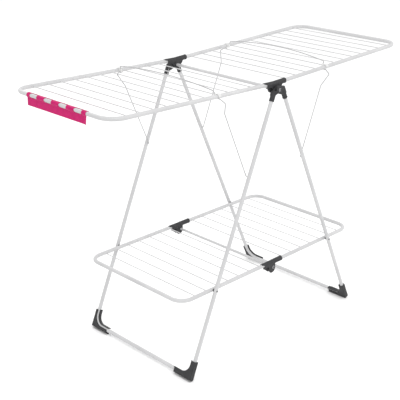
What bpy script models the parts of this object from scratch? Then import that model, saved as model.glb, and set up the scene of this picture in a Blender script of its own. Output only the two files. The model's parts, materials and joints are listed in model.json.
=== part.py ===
"""Winged clothes drying rack: two folding leg frames, two wings and a lower shelf that folds in the middle.

Metres, +Z up, origin on the floor under the centre. X runs along the wings, Y across the rack.
"Left" is -X, "right" is +X, "near" is -Y and "far" is +Y.
"""

import math

import bmesh
import bpy
from mathutils import Matrix, Vector

# ---- driving dimensions -------------------------------------------------------------------------
GAP = 0.0003

TUBE_RADIUS = 0.0075
TUBE_SIDES = 12
WIRE_RADIUS = 0.0016
WIRE_SIDES = 6
STAY_WIRE_RADIUS = 0.0018
STAY_WIRE_SIDES = 8

HUB_Z = 1.0253
LEG_ANGLE = math.radians(23.57)
LEG_OFFSET = 0.0194
LEG_LENGTH = 1.110
LEG_Y = 0.285
LEG_BEND = 0.045
LEG_TOP = 0.0203

RAIL_Y = 0.267
WING_TILT = math.radians(1.88)
WING_RISE = 0.020
WING_LENGTH = 0.7636
WING_CORNER = 0.060
WING_WIRE_PITCH = 0.0577
LEFT_WING_WIRES = (11, 0.1086)
RIGHT_WING_WIRES = (12, 0.0749)

SHELF_Z = 0.3248
SHELF_RISE = 0.0195
SHELF_LENGTH = 0.4827
SHELF_CORNER = 0.052
LEFT_SHELF_WIRES = (7, 0.0630, 0.0574)
RIGHT_SHELF_WIRES = (7, 0.0683, 0.0589)
RAIL_END = 0.0045

SLEEVE_RADIUS = 0.0098
BORE_RADIUS = TUBE_RADIUS + GAP
CHEEK_HALF = 0.0094
CHEEK_HUB_RADIUS = 0.015
CHEEK_TOP = (-0.034, 0.036)
CHEEK_CORNER = (0.026, 0.004)
SHELF_CHEEK_TOP = (-0.0255, 0.0125)
SHELF_PLATE = (-0.007, -0.003)
SHELF_PLATE_RADIUS = 0.0185
SLOT_HALF = 0.0078
CONNECTOR_REACH = (0.060, 0.053)
LUG_HALF = 0.0045
WING_LUG = [(-0.036, 0.002), (-0.030, -0.008), (-0.022, -0.012)]
WING_LUG_TOP_X = -0.037
SHELF_LUG = [(-0.046, 0.006), (-0.036, -0.004)]
SHELF_LUG_TOP_X = (-0.046, -0.010)
LUG_HUB_RADIUS = 0.0092

TOP_CROSSBAR_RADIUS = 0.0060
SHELF_CROSSBAR_RADIUS = 0.0050
JOURNAL_RADIUS = 0.0030
PIN_HOLE_RADIUS = 0.0033
CAP_RADIUS = 0.0065
CAP_THICKNESS = 0.0020

SOCKET_RADIUS = 0.0094
SOCKET_START = 0.016
RIGHT_SOCKET_SHOULDER = 0.0015
SOCKET_END = 0.049
SOCKET_HUB_RADIUS = 0.0150
SOCKET_PLATE_END = 0.030
INNER_PLATE_Y = (0.2768, 0.2843)
OUTER_PLATE_Y = (0.2847, 0.2925)

FOOT_HALF = 0.0105
FOOT_OUTER_Y = 0.2955
FOOT_INNER_Y = 0.200
FOOT_TOP = 0.061
FOOT_LIP = 0.0105
FOOT_LIP_TOP = 0.063
FOOT_BACK_WALL = 0.0039
FOOT_OUTER_DEPTH = 0.0100
FOOT_CREST = 0.0035
FOOT_COVER_NARROW = 0.0030
FOOT_COVER_WIDE = 0.0005

SPACER_RADIUS = 0.0060

STAY_PIVOT = 0.3358
STAY_ANGLE = math.radians(22.91)
STAY_ARM_Y = 0.2700
STAY_KNEE_Y = 0.2935
STAY_KNEE = (0.284, 0.333)
STAY_HOOK = 0.347
STAY_HOOK_Y = 0.2600
STAY_CORNER = 0.004
STAY_PIN_DEPTH = 0.0055
STAY_HOLE_RADIUS = 0.0022

ARCH_X = 0.2918
ARCH_LEAN = STAY_ANGLE + WING_TILT
ARCH_Y = 0.2520
ARCH_FOOT = -0.004
ARCH_SHOULDER = 0.0200
ARCH_CROWN = 0.0388
ARCH_CORNER = 0.006
CLIP_RADIUS = 0.0102
CLIP_HALF_WIDTH = 0.0065
CLIP_BOSS_RADIUS = 0.0042
CLIP_BOSS = (-0.0070, 0.0105)
CLIP_WEB_HALF = 0.0030
CLIP_WEB = (-0.0050, 0.0060)
CLIP_WEB_END_Y = 0.260

STRIP_Y = (-0.152, 0.175)
STRIP_WALL = 0.0014
STRIP_DROP = 0.0360
STRIP_ARC = (math.radians(-50), math.radians(240))
STRIP_WINDOWS = 4
STRIP_WINDOW_PITCH = 0.0823
STRIP_WINDOW_FIRST_Y = -0.1090
STRIP_WINDOW_WIDTH = 0.035
STRIP_WINDOW_ARC = (math.radians(93), math.radians(217))


# ---- scene helpers ------------------------------------------------------------------------------
def clear_scene():
    for thing in list(bpy.data.objects):
        bpy.data.objects.remove(thing, do_unlink=True)


def material(name, colour, roughness, metallic=0.0):
    made = bpy.data.materials.new(name)
    made.use_nodes = True
    shader = made.node_tree.nodes["Principled BSDF"]
    shader.inputs["Base Color"].default_value = (*colour, 1.0)
    shader.inputs["Roughness"].default_value = roughness
    shader.inputs["Metallic"].default_value = metallic
    return made


def pivot(name, place, turn_y=0.0):
    """An empty on a joint's axis, turned about Y; everything that moves with it is its child."""
    empty = bpy.data.objects.new(name, None)
    empty.location = place
    empty.rotation_euler = (0.0, turn_y, 0.0)
    bpy.context.scene.collection.objects.link(empty)
    return empty


def add_object(name, mesh, parent, finish, helper=False):
    thing = bpy.data.objects.new(name, mesh)
    bpy.context.scene.collection.objects.link(thing)
    thing.parent = parent
    if finish is not None:
        mesh.materials.append(finish)
    if helper:
        thing.hide_render = True
        thing.display_type = "WIRE"
    return thing


def mesh_from(bm, name):
    bmesh.ops.remove_doubles(bm, verts=bm.verts, dist=1e-6)
    bmesh.ops.recalc_face_normals(bm, faces=bm.faces)
    mesh = bpy.data.meshes.new(name)
    bm.to_mesh(mesh)
    bm.free()
    mesh.shade_smooth()
    mesh.set_sharp_from_angle(angle=math.radians(35))
    return mesh


def boolean(target, helper, operation):
    modifier = target.modifiers.new(operation.title(), "BOOLEAN")
    modifier.operation = operation
    modifier.object = helper


def join(target, mesh):
    boolean(target, add_object(target.name + "_join", mesh, target.parent, None, helper=True), "UNION")


def cut(target, mesh):
    boolean(target, add_object(target.name + "_cut", mesh, target.parent, None, helper=True), "DIFFERENCE")


# ---- shape helpers ------------------------------------------------------------------------------
def arc(centre, radius, start, end, steps):
    """Points of an arc in a plane, from start to end in radians."""
    turn = (end - start) / steps
    return [
        (centre[0] + radius * math.cos(start + turn * i), centre[1] + radius * math.sin(start + turn * i))
        for i in range(steps + 1)
    ]


def rounded(corners, radius, steps=6):
    """A path of 2D points with each inner corner replaced by an arc of the given radius."""
    path = [Vector(corners[0])]
    for before, corner, after in zip(corners, corners[1:], corners[2:]):
        here = Vector(corner)
        back = (Vector(before) - here).normalized()
        ahead = (Vector(after) - here).normalized()
        half = back.angle(ahead) / 2
        reach = radius / math.tan(half)
        centre = here + (back + ahead).normalized() * (radius / math.sin(half))
        start = here + back * reach - centre
        sweep = start.angle_signed(here + ahead * reach - centre)
        for i in range(steps + 1):
            spoke = start.copy()
            spoke.rotate(Matrix.Rotation(-sweep * i / steps, 2))
            path.append(centre + spoke)
    path.append(Vector(corners[-1]))
    return path


def sweep_tube(bm, path, radius, sides):
    """A solid round bar along a 3D path that lies in one plane."""
    path = [Vector(point) for point in path]
    ends = path[-1] - path[0]
    bulge = max(path, key=lambda point: ends.cross(point - path[0]).length)
    normal = ends.cross(bulge - path[0])
    if normal.length < 1e-9:
        normal = ends.cross(Vector((0, 1, 0)))
    if normal.length < 1e-9:
        normal = Vector((1, 0, 0))
    normal.normalize()
    rings = []
    for i, point in enumerate(path):
        ahead = path[min(i + 1, len(path) - 1)] - point
        behind = point - path[max(i - 1, 0)]
        tangent = (ahead.normalized() + behind.normalized()).normalized()
        side = tangent.cross(normal).normalized()
        ring = []
        for k in range(sides):
            turn = math.tau * (k + 0.5) / sides
            ring.append(bm.verts.new(point + radius * (math.cos(turn) * side + math.sin(turn) * normal)))
        rings.append(ring)
    for ring, following in zip(rings, rings[1:]):
        for k in range(sides):
            after = (k + 1) % sides
            bm.faces.new((ring[k], ring[after], following[after], following[k]))
    bm.faces.new(rings[0])
    bm.faces.new(reversed(rings[-1]))


def tube_mesh(name, paths, radius, sides):
    bm = bmesh.new()
    for path in paths:
        sweep_tube(bm, path, radius, sides)
    return mesh_from(bm, name)


def rod_mesh(name, start, end, radius, sides=TUBE_SIDES):
    return tube_mesh(name, [(start, end)], radius, sides)


def box_mesh(name, low, high):
    bm = bmesh.new()
    bmesh.ops.create_cube(bm, size=1.0)
    for vert in bm.verts:
        for axis in range(3):
            vert.co[axis] = low[axis] if vert.co[axis] < 0 else high[axis]
    return mesh_from(bm, name)


def hull(points):
    """The convex hull of 2D points, anticlockwise."""
    points = sorted(set((round(a, 7), round(b, 7)) for a, b in points))

    def half(ordered):
        chain = []
        for point in ordered:
            while len(chain) > 1:
                first = Vector(chain[-1]) - Vector(chain[-2])
                second = Vector(point) - Vector(chain[-1])
                if first.x * second.y - first.y * second.x > 1e-12:
                    break
                chain.pop()
            chain.append(point)
        return chain[:-1]

    return half(points) + half(points[::-1])


def plate(bm, outline, y_from, y_to):
    """An XZ outline extruded between two Y planes."""
    front = [bm.verts.new((x, y_from, z)) for x, z in outline]
    back = [bm.verts.new((x, y_to, z)) for x, z in outline]
    bm.faces.new(front)
    bm.faces.new(back)
    for i in range(len(outline)):
        after = (i + 1) % len(outline)
        bm.faces.new((front[i], front[after], back[after], back[i]))


def plate_x(bm, outline, x_from, x_to):
    """A YZ outline extruded between two X planes."""
    front = [bm.verts.new((x_from, y, z)) for y, z in outline]
    back = [bm.verts.new((x_to, y, z)) for y, z in outline]
    bm.faces.new(front)
    bm.faces.new(back)
    for i in range(len(outline)):
        after = (i + 1) % len(outline)
        bm.faces.new((front[i], front[after], back[after], back[i]))


def plate_mesh(name, outline, y_from, y_to):
    bm = bmesh.new()
    plate(bm, outline, y_from, y_to)
    return mesh_from(bm, name)


def turned_mesh(name, profile, sides=16):
    """A body of revolution about the Y axis from (y, radius) points."""
    bm = bmesh.new()
    rings = []
    for y, radius in profile:
        ring = []
        for k in range(sides):
            turn = math.tau * k / sides
            ring.append(bm.verts.new((radius * math.cos(turn), y, radius * math.sin(turn))))
        rings.append(ring)
    for ring, following in zip(rings, rings[1:]):
        for k in range(sides):
            after = (k + 1) % sides
            bm.faces.new((ring[k], ring[after], following[after], following[k]))
    bm.faces.new(rings[0])
    bm.faces.new(rings[-1])
    return mesh_from(bm, name)


def pin_hole(y_sign):
    return rod_mesh("pin_hole", (0, y_sign * 0.240, 0), (0, y_sign * 0.310, 0), PIN_HOLE_RADIUS)


# ---- leg frames ---------------------------------------------------------------------------------
def leg_direction(side):
    return Vector((side * math.sin(LEG_ANGLE), 0.0, -math.cos(LEG_ANGLE)))


def leg_point(side, distance):
    """World XZ point on a leg's axis, at a distance along it from the hub."""
    outward = Vector((side * math.cos(LEG_ANGLE), 0.0, math.sin(LEG_ANGLE)))
    return Vector((0, 0, HUB_Z)) + outward * LEG_OFFSET + leg_direction(side) * distance


def leg_tube(name, side, y_sign, parent, finish):
    """One L-shaped tube: a leg, its bottom bend and half of the bottom bar."""
    corners = [(y_sign * LEG_Y, -LEG_TOP), (y_sign * LEG_Y, -LEG_LENGTH), (y_sign * GAP / 2, -LEG_LENGTH)]
    path = [(side * LEG_OFFSET, y, z) for y, z in rounded(corners, LEG_BEND)]
    leg = add_object(name, tube_mesh(name, [path], TUBE_RADIUS, TUBE_SIDES), parent, finish)
    inner = y_sign * (LEG_Y - TUBE_RADIUS)
    place = (side * LEG_OFFSET, inner - y_sign * 0.002, -STAY_PIVOT)
    depth = (side * LEG_OFFSET, inner + y_sign * (STAY_PIN_DEPTH + GAP), -STAY_PIVOT)
    cut(leg, rod_mesh("stay_hole", place, depth, STAY_HOLE_RADIUS, STAY_WIRE_SIDES))
    return leg


def foot_outline(y_sign):
    """The foot in the plane of its leg frame: (y, height above the bottom bar's axis)."""
    inner_radius = LEG_BEND - FOOT_LIP
    bend = (LEG_Y - LEG_BEND, LEG_BEND)
    below = -0.040
    outline = [(FOOT_INNER_Y, below), (FOOT_OUTER_Y, below), (FOOT_OUTER_Y, FOOT_TOP)]
    outline += [(LEG_Y - FOOT_LIP, FOOT_LIP_TOP)]
    outline += arc(bend, inner_radius, 0.0, -math.pi / 2, 6)
    outline += [(FOOT_INNER_Y, FOOT_LIP)]
    return [(y_sign * y, z) for y, z in outline]


def bisect(bm, point, normal):
    """Cuts away what lies behind a plane and closes the cut."""
    found = bmesh.ops.bisect_plane(
        bm, geom=bm.verts[:] + bm.edges[:] + bm.faces[:], plane_co=point, plane_no=normal, clear_inner=True
    )["geom_cut"]
    bmesh.ops.edgenet_fill(bm, edges=[edge for edge in found if isinstance(edge, bmesh.types.BMEdge)])


def foot(name, side, y_sign, parent, finish):
    """A moulded foot that wraps the bend of a leg frame and stands on a flat along its inner edge."""
    bm = bmesh.new()
    section = [(y, z - LEG_LENGTH) for y, z in foot_outline(y_sign)]
    plate_x(bm, section, side * LEG_OFFSET - FOOT_HALF, side * LEG_OFFSET + FOOT_HALF)
    floor_normal = Matrix.Rotation(side * LEG_ANGLE, 3, "Y") @ Vector((0, 0, 1))
    bisect(bm, -HUB_Z * floor_normal, floor_normal)
    crest_x = LEG_OFFSET - FOOT_CREST
    crest = Vector((side * crest_x, 0, -(HUB_Z + crest_x * math.sin(LEG_ANGLE)) / math.cos(LEG_ANGLE)))
    rim = Vector((side * (LEG_OFFSET + FOOT_HALF), 0, -LEG_LENGTH - FOOT_OUTER_DEPTH))
    chamfer_normal = (rim - crest).cross(Vector((0, side, 0)))
    bisect(bm, crest, chamfer_normal.normalized() * math.copysign(1, chamfer_normal.z))
    made = add_object(name, mesh_from(bm, name), parent, finish)
    corners = [(y_sign * LEG_Y, -0.9), (y_sign * LEG_Y, -LEG_LENGTH), (y_sign * 0.15, -LEG_LENGTH)]
    path = [(side * LEG_OFFSET, y, z) for y, z in rounded(corners, LEG_BEND)]
    cut(made, tube_mesh("tube_seat", [path], BORE_RADIUS, TUBE_SIDES))
    cut(made, open_side_mesh(side, y_sign))
    return made


def open_side_mesh(side, y_sign):
    """What is left out of a foot so that the tube shows along the inside of its bend, on one face."""
    face = -y_sign
    cover = FOOT_COVER_WIDE if side * y_sign > 0 else FOOT_COVER_NARROW
    radius = LEG_BEND - cover
    bend = (LEG_Y - LEG_BEND, LEG_BEND)
    beyond = 0.020
    outline = [(bend[0] + radius, FOOT_TOP + beyond)]
    outline += arc(bend, radius, 0.0, -math.pi / 2, 6)
    outline += [(FOOT_INNER_Y - beyond, bend[1] - radius), (FOOT_INNER_Y - beyond, FOOT_TOP + beyond)]
    section = [(y_sign * y, z - LEG_LENGTH) for y, z in outline]
    back = side * LEG_OFFSET - face * (FOOT_HALF - FOOT_BACK_WALL)
    bm = bmesh.new()
    plate_x(bm, section, back, side * LEG_OFFSET + face * (FOOT_HALF + beyond))
    return mesh_from(bm, "open_side")


def leg_socket(name, side, y_sign, plate_y, shoulder, parent, finish):
    """The moulded socket on top of a leg: a hub plate around the axle and a cup over the tube."""
    low_x, high_x = LEG_OFFSET - SOCKET_RADIUS, LEG_OFFSET + SOCKET_RADIUS
    outline = arc((0, 0), SOCKET_HUB_RADIUS, 0, math.tau, 20)
    outline += [(side * low_x, -SOCKET_PLATE_END), (side * high_x, -SOCKET_PLATE_END)]
    outline += [(side * high_x, -shoulder)]
    made = add_object(
        name, plate_mesh(name, hull(outline), y_sign * plate_y[0], y_sign * plate_y[1]), parent, finish
    )
    top = (side * LEG_OFFSET, y_sign * LEG_Y, -SOCKET_START)
    bottom = (side * LEG_OFFSET, y_sign * LEG_Y, -SOCKET_END)
    join(made, rod_mesh("cup", top, bottom, SOCKET_RADIUS, 16))
    bore_top = (side * LEG_OFFSET, y_sign * LEG_Y, -(LEG_TOP - GAP))
    bore_end = (side * LEG_OFFSET, y_sign * LEG_Y, -(SOCKET_END + 0.02))
    cut(made, rod_mesh("cup_bore", bore_top, bore_end, BORE_RADIUS))
    flat = sorted((y_sign * 0.260, y_sign * INNER_PLATE_Y[0]))
    cut(made, box_mesh("flat", (-0.05, flat[0], -0.08), (0.05, flat[1], 0.03)))
    cut(made, pin_hole(y_sign))
    return made


def spacer(name, side, y_sign, finish, parent):
    """The bush between a leg and the shelf rail that turns on it."""
    low = RAIL_Y + TUBE_RADIUS + GAP
    high = LEG_Y - TUBE_RADIUS - GAP
    distance = (leg_point(side, 0).z - SHELF_Z) / math.cos(LEG_ANGLE)
    profile = [(y_sign * low, SPACER_RADIUS), (y_sign * high, SPACER_RADIUS)]
    made = add_object(name, turned_mesh(name, profile), parent, finish)
    made.location = (side * LEG_OFFSET, 0, -distance)
    return made


# ---- wings and shelf ----------------------------------------------------------------------------
def rack_frame(name, side, rise, length, corner, wires, parent, finish):
    """A U-shaped rail with straight drying wires welded across it, as one weldment."""
    count, first, pitch = wires
    corners = [
        (side * RAIL_END, -RAIL_Y),
        (side * length, -RAIL_Y),
        (side * length, RAIL_Y),
        (side * RAIL_END, RAIL_Y),
    ]
    path = [(x, y, rise) for x, y in rounded(corners, corner)]
    frame = add_object(name, tube_mesh(name, [path], TUBE_RADIUS, TUBE_SIDES), parent, finish)
    rows = []
    for i in range(count):
        x = side * (first + pitch * i)
        rows.append([(x, -RAIL_Y, rise), (x, RAIL_Y, rise)])
    join(frame, tube_mesh("wires", rows, WIRE_RADIUS, WIRE_SIDES))
    return frame


def connector(name, y_sign, rise, tilt, outline, parent, finish):
    """The moulded hinge piece: a sleeve fixed on the right rail and an open channel over the left rail."""
    centre = y_sign * RAIL_Y
    reach = CONNECTOR_REACH
    lift_left, lift_right = reach[0] * math.tan(tilt), reach[1] * math.tan(tilt)
    made = add_object(
        name, plate_mesh(name, hull(outline), centre - CHEEK_HALF, centre + CHEEK_HALF), parent, finish
    )
    left_end = (-reach[0], centre, rise + lift_left)
    right_end = (reach[1], centre, rise + lift_right)
    join(made, tube_mesh("shell", [(left_end, (0, centre, rise), right_end)], SLEEVE_RADIUS, 16))
    slot_low, slot_high = centre - SLOT_HALF, centre + SLOT_HALF
    cut(made, box_mesh("lug_slot", (-0.1, slot_low, -0.03), (0.045, slot_high, rise - SLEEVE_RADIUS)))
    cut(made, box_mesh("channel_slot", (-0.1, slot_low, -0.02), (RAIL_END - 0.001, slot_high, rise)))
    beyond = 1.3
    bore_left = (-reach[0] * beyond, centre, rise + lift_left * beyond)
    bore_right = (reach[1] * beyond, centre, rise + lift_right * beyond)
    cut(made, tube_mesh("bore", [(bore_left, (0, centre, rise), bore_right)], BORE_RADIUS, TUBE_SIDES))
    cut(made, pin_hole(y_sign))
    return made


def lug(name, y_sign, outline, parent, finish):
    """The hinge lug under a left rail's end, between the connector's cheeks."""
    centre = y_sign * RAIL_Y
    shape = hull(outline + arc((0, 0), LUG_HUB_RADIUS, 0, math.tau, 16))
    made = add_object(name, plate_mesh(name, shape, centre - LUG_HALF, centre + LUG_HALF), parent, finish)
    cut(made, pin_hole(y_sign))
    return made


def crossbar(name, radius, journal_y, parent, finish):
    """The axle tube between the two connectors, drawn down to a journal at each end."""
    bar_y = RAIL_Y - CHEEK_HALF - GAP
    profile = [
        (-journal_y, JOURNAL_RADIUS),
        (-bar_y, JOURNAL_RADIUS),
        (-bar_y, radius),
        (bar_y, radius),
        (bar_y, JOURNAL_RADIUS),
        (journal_y, JOURNAL_RADIUS),
    ]
    return add_object(name, turned_mesh(name, profile, TUBE_SIDES), parent, finish)


def cap(name, y_sign, y, parent, finish):
    inner = y_sign * (y + GAP)
    outer = y_sign * (y + GAP + CAP_THICKNESS)
    rim = y_sign * (y + GAP + CAP_THICKNESS / 2)
    profile = [(inner, CAP_RADIUS), (rim, CAP_RADIUS), (outer, CAP_RADIUS * 0.7)]
    return add_object(name, turned_mesh(name, profile), parent, finish)


# ---- stays, arches and their clips --------------------------------------------------------------
def stay(name, side, y_sign, parent, finish):
    """One bent wire strut: pinned in the leg, straight up, out round the rail and hooked under it."""
    pin_y = LEG_Y - TUBE_RADIUS + STAY_PIN_DEPTH
    corners = [
        (pin_y, 0.0),
        (STAY_ARM_Y, 0.0),
        (STAY_ARM_Y, STAY_KNEE[0]),
        (STAY_KNEE_Y, STAY_KNEE[1]),
        (STAY_HOOK_Y + 0.012, STAY_HOOK),
        (STAY_HOOK_Y, STAY_HOOK),
    ]
    path = [(0, y_sign * y, z) for y, z in rounded(corners, STAY_CORNER, 4)]
    return add_object(name, tube_mesh(name, [path], STAY_WIRE_RADIUS, STAY_WIRE_SIDES), parent, finish)


def arch_seat(name, side, wing):
    """The empty at the foot of an arch: leaning outwards from the wing's plane."""
    empty = pivot(name, (side * ARCH_X, 0, WING_RISE), side * ARCH_LEAN)
    empty.parent = wing
    return empty


def arch(name, seat, finish):
    """The bowed wire over a wing, from one rail clip to the other."""
    crown = []
    steps = 12
    for i in range(1, steps):
        y = ARCH_Y * (2 * i / steps - 1)
        crown.append((y, ARCH_CROWN - (ARCH_CROWN - ARCH_SHOULDER) * (y / ARCH_Y) ** 2))
    corners = [(-ARCH_Y, ARCH_FOOT), (-ARCH_Y, ARCH_SHOULDER)] + crown
    corners += [(ARCH_Y, ARCH_SHOULDER), (ARCH_Y, ARCH_FOOT)]
    path = [(0, y, z) for y, z in rounded(corners, ARCH_CORNER, 3)]
    return add_object(name, tube_mesh(name, [path], STAY_WIRE_RADIUS, STAY_WIRE_SIDES), seat, finish)


def clip(name, side, y_sign, seat, finish):
    """A plastic saddle over a wing rail with a boss that holds an arch's foot."""
    turn = Matrix.Rotation(-side * ARCH_LEAN, 4, "Y")
    bm = bmesh.new()
    plate_x(bm, arc((y_sign * RAIL_Y, 0), CLIP_RADIUS, 0, math.pi, 10), -CLIP_HALF_WIDTH, CLIP_HALF_WIDTH)
    bm.transform(turn)
    made = add_object(name, mesh_from(bm, name), seat, finish)
    boss_y = y_sign * ARCH_Y
    join(made, rod_mesh("boss", (0, boss_y, CLIP_BOSS[0]), (0, boss_y, CLIP_BOSS[1]), CLIP_BOSS_RADIUS))
    web_y = sorted((boss_y, y_sign * CLIP_WEB_END_Y))
    low = (-CLIP_WEB_HALF, web_y[0], CLIP_WEB[0])
    high = (CLIP_WEB_HALF, web_y[1], CLIP_WEB[1])
    join(made, box_mesh("web", low, high))
    foot_low = (0, boss_y, ARCH_FOOT - GAP)
    cut(made, rod_mesh("arch_bore", foot_low, (0, boss_y, 0.02), STAY_WIRE_RADIUS + GAP, STAY_WIRE_SIDES))
    along = turn @ Vector((0.03, 0, 0))
    across = Vector((0, y_sign * RAIL_Y, 0))
    cut(made, rod_mesh("rail_seat", across - along, across + along, BORE_RADIUS))
    return made


# ---- hanger strip -------------------------------------------------------------------------------
def strip_section(start, end, inner, outer):
    return arc((0, 0), outer, start, end, 20) + arc((0, 0), inner, end, start, 20)


def hanger_strip(name, parent, finish):
    """The clip-on strip on the left wing's end rail, with a flap below and windows over the rail."""
    inner = BORE_RADIUS
    outer = BORE_RADIUS + STRIP_WALL
    made = add_object(
        name, plate_mesh(name, strip_section(*STRIP_ARC, inner, outer), *STRIP_Y), parent, finish
    )
    made.location = (-WING_LENGTH, 0, WING_RISE)
    end = STRIP_ARC[1]
    x = (inner + STRIP_WALL * 0.8) * math.cos(end)
    top = (inner + STRIP_WALL * 0.4) * math.sin(end)
    low = (x - STRIP_WALL / 2, STRIP_Y[0], -STRIP_DROP)
    flap = box_mesh("flap", low, (x + STRIP_WALL / 2, STRIP_Y[1], top))
    flap_object = add_object("flap", flap, parent, None, helper=True)
    flap_object.location = made.location
    boolean(made, flap_object, "UNION")
    bm = bmesh.new()
    for i in range(STRIP_WINDOWS):
        middle = STRIP_WINDOW_FIRST_Y + STRIP_WINDOW_PITCH * i
        low, high = middle - STRIP_WINDOW_WIDTH / 2, middle + STRIP_WINDOW_WIDTH / 2
        plate(bm, strip_section(*STRIP_WINDOW_ARC, inner - 0.001, outer + 0.001), low, high)
    windows = add_object("windows", mesh_from(bm, "windows"), parent, None, helper=True)
    windows.location = made.location
    boolean(made, windows, "DIFFERENCE")
    return made


# ---- assembly -----------------------------------------------------------------------------------
SIDES = (("left", -1), ("right", 1))
ENDS = (("near", -1), ("far", 1))


def build():
    clear_scene()
    paint = material("white_powder_coat", (0.86, 0.86, 0.87), 0.42)
    grey = material("dark_grey_plastic", (0.070, 0.070, 0.074), 0.55)
    white_plastic = material("white_plastic", (0.84, 0.84, 0.84), 0.45)
    zinc = material("zinc_plated_steel", (0.62, 0.62, 0.63), 0.35, 0.9)
    pink = material("pink_plastic", (0.74, 0.02, 0.19), 0.40)

    hub = (0, 0, HUB_Z)
    shelf_hinge = (0, 0, SHELF_Z - SHELF_RISE)
    axle = pivot("axle_pivot", hub)
    shelf_axle = pivot("shelf_axle_pivot", shelf_hinge)
    left_shelf = pivot("left_shelf_pivot", shelf_hinge)
    legs, wings, stays = {}, {}, {}
    for side_name, side in SIDES:
        legs[side] = pivot(side_name + "_leg_pivot", hub, -side * LEG_ANGLE)
        wings[side] = pivot(side_name + "_wing_pivot", hub, -side * WING_TILT)
        stays[side] = pivot(side_name + "_stay_pivot", leg_point(side, STAY_PIVOT), side * STAY_ANGLE)

    for side_name, side in SIDES:
        plate_y = INNER_PLATE_Y if side < 0 else OUTER_PLATE_Y
        shoulder = SOCKET_START if side < 0 else RIGHT_SOCKET_SHOULDER
        seat = arch_seat(side_name + "_arch_seat", side, wings[side])
        arch(side_name + "_wing_arch", seat, paint)
        for end_name, y_sign in ENDS:
            tag = side_name + "_" + end_name
            leg_tube(tag + "_leg_tube", side, y_sign, legs[side], paint)
            foot(tag + "_foot", side, y_sign, legs[side], grey)
            leg_socket(tag + "_leg_socket", side, y_sign, plate_y, shoulder, legs[side], grey)
            spacer(tag + "_shelf_bush", side, y_sign, grey, legs[side])
            stay(tag + "_stay_wire", side, y_sign, stays[side], paint)
            clip(tag + "_arch_clip", side, y_sign, seat, white_plastic)

    wing = (WING_RISE, WING_LENGTH, WING_CORNER)
    shelf = (SHELF_RISE, SHELF_LENGTH, SHELF_CORNER)
    rack_frame("left_wing_frame", -1, *wing, (*LEFT_WING_WIRES, WING_WIRE_PITCH), wings[-1], paint)
    rack_frame("right_wing_frame", 1, *wing, (*RIGHT_WING_WIRES, WING_WIRE_PITCH), wings[1], paint)
    rack_frame("left_shelf_frame", -1, *shelf, LEFT_SHELF_WIRES, left_shelf, paint)
    rack_frame("right_shelf_frame", 1, *shelf, RIGHT_SHELF_WIRES, shelf_axle, paint)

    wing_lug = WING_LUG + [(WING_LUG_TOP_X, WING_RISE - BORE_RADIUS)]
    shelf_lug = SHELF_LUG + [(x, SHELF_RISE - BORE_RADIUS) for x in SHELF_LUG_TOP_X]
    wing_plate = [(x, WING_RISE) for x in CHEEK_TOP] + [CHEEK_CORNER]
    wing_plate += arc((0, 0), CHEEK_HUB_RADIUS, 0, math.tau, 20)
    shelf_plate = [(x, SHELF_RISE) for x in SHELF_CHEEK_TOP]
    shelf_plate += arc(SHELF_PLATE, SHELF_PLATE_RADIUS, 0, math.tau, 24)
    for end_name, y_sign in ENDS:
        tag = end_name + "_"
        connector(tag + "wing_connector", y_sign, WING_RISE, WING_TILT, wing_plate, axle, grey)
        connector(tag + "shelf_connector", y_sign, SHELF_RISE, 0.0, shelf_plate, shelf_axle, grey)
        lug(tag + "wing_lug", y_sign, wing_lug, wings[-1], grey)
        lug(tag + "shelf_lug", y_sign, shelf_lug, left_shelf, grey)
        cap(tag + "axle_cap", y_sign, OUTER_PLATE_Y[1], axle, zinc)
        cap(tag + "shelf_axle_cap", y_sign, RAIL_Y + CHEEK_HALF, shelf_axle, zinc)
    crossbar("top_crossbar", TOP_CROSSBAR_RADIUS, OUTER_PLATE_Y[1], axle, paint)
    crossbar("shelf_crossbar", SHELF_CROSSBAR_RADIUS, RAIL_Y + CHEEK_HALF, shelf_axle, paint)
    hanger_strip("hanger_strip", wings[-1], pink)


build()
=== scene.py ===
"""Looks of the winged clothes drying rack: its tubes, wires, hinges, feet and clips in full detail.

Metres, +Z up. "Left" is -X, "right" is +X, "near" is -Y and "far" is +Y, as in the CAD.
"""
import json
import math

import bpy
import numpy as np
from mathutils import Matrix, Vector


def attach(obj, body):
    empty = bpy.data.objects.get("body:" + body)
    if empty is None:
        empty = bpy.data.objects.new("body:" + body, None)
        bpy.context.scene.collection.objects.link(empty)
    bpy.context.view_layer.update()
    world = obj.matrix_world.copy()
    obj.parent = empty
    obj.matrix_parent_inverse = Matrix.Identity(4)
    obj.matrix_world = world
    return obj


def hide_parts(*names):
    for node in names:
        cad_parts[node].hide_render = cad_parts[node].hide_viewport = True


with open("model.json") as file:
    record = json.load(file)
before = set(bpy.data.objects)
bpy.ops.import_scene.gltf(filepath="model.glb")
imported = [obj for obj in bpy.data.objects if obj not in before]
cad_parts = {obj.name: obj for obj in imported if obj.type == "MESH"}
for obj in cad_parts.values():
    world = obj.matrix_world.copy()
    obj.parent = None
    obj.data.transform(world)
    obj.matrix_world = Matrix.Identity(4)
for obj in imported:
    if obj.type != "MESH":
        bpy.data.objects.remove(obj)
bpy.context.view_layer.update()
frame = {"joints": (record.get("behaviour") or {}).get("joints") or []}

# ---- sizes, shared with the CAD except for the drying wires' radius -----------------------------
GAP = 0.0003
TUBE_RADIUS = 0.0075
BORE_RADIUS = TUBE_RADIUS + GAP
WIRE_RADIUS = 0.0018  # 0.2 mm more than in the CAD
STAY_WIRE_RADIUS = 0.0018

LEG_ANGLE = math.radians(23.57)
LEG_OFFSET = 0.0194
LEG_LENGTH = 1.110
LEG_Y = 0.285
LEG_BEND = 0.045
LEG_TOP = 0.0203

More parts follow.
